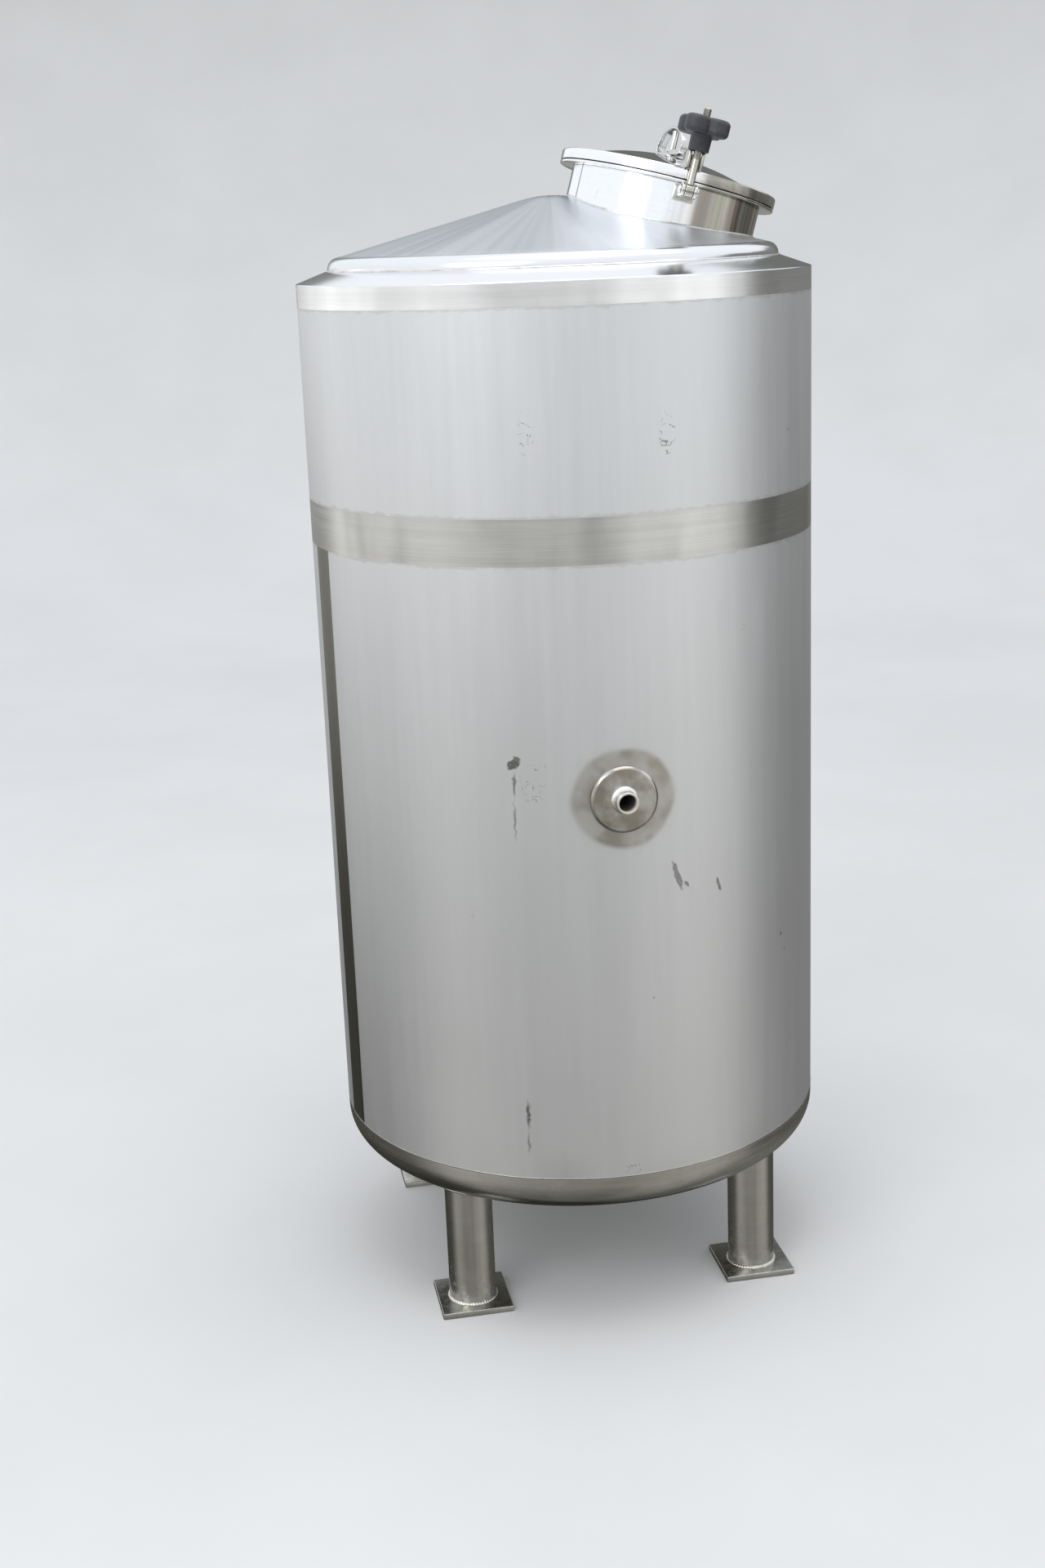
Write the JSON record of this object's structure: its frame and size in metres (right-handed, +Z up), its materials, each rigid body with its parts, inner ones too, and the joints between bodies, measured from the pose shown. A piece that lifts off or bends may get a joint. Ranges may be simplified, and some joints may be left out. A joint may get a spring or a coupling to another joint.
{
  "type": "vertical storage tank",
  "caption": "Clad round steel storage tank on pipe legs, with a cone top, a tilted round manway held shut by a swing bolt and knob, and a side port.",
  "frame": {"origin": "on the ground, under the middle of the tank's overall width and depth, 13.5 mm in front of the tank's axis", "axes": "+Z up, -Y towards the side port, +X towards the manway"},
  "size_m": [0.8, 0.827, 1.8527],
  "materials": {
    "sheet_steel": "mill-finished stainless sheet, softly reflecting, with fine scratches",
    "brushed_steel": "ground weld zones with a coarse grain around the tank",
    "polished_steel": "mirror-polished stainless steel",
    "leg_steel": "satin stainless pipe with weathering",
    "black_plastic": "satin moulded plastic",
    "black_rubber": "matt rubber"
  },
  "bodies": {
    "tank": {"lower_shell": "sheet_steel", "upper_shell": "sheet_steel", "shoulder_ring": "sheet_steel", "cone_head": "sheet_steel", "vessel_wall": "sheet_steel", "vessel_bottom": "sheet_steel", "top_band": "brushed_steel", "middle_band": "brushed_steel", "lower_seam": "brushed_steel", "upper_seam": "brushed_steel", "bottom_head": "brushed_steel", "manway_neck": "polished_steel", "neck_flange": "polished_steel", "lid": "polished_steel", "lid_fork": "polished_steel", "lid_handle": "polished_steel", "lid_stud": "polished_steel", "clamp_bracket": "polished_steel", "clamp_pin": "polished_steel", "hinge_bracket": "polished_steel", "hinge_pin": "polished_steel", "hinge_arm": "polished_steel", "port_disc": "polished_steel", "port_nipple": "polished_steel", "bottom_outlet": "polished_steel", "leg_1": "leg_steel", "leg_2": "leg_steel", "leg_3": "leg_steel", "leg_4": "leg_steel", "foot_plate_1": "leg_steel", "foot_plate_2": "leg_steel", "foot_plate_3": "leg_steel", "foot_plate_4": "leg_steel", "gasket": "black_rubber"},
    "clamp_bolt": {"swing_bolt": "polished_steel"},
    "clamp_grip": {"clamp_knob": "black_plastic"}
  },
  "joints": [
    {"name": "clamp_swing", "type": "hinge", "parent": "tank", "child": "clamp_bolt", "pos_m": [0.17131, -0.16816, 1.73697], "axis": [0.9614, -0.061, -0.2684], "range_deg": [0, 100]},
    {"name": "knob_turn", "type": "hinge", "parent": "clamp_bolt", "child": "clamp_grip", "pos_m": [0.17131, -0.16816, 1.73697], "axis": [0.2689, 0, 0.9632], "continuous": true}
  ]
}
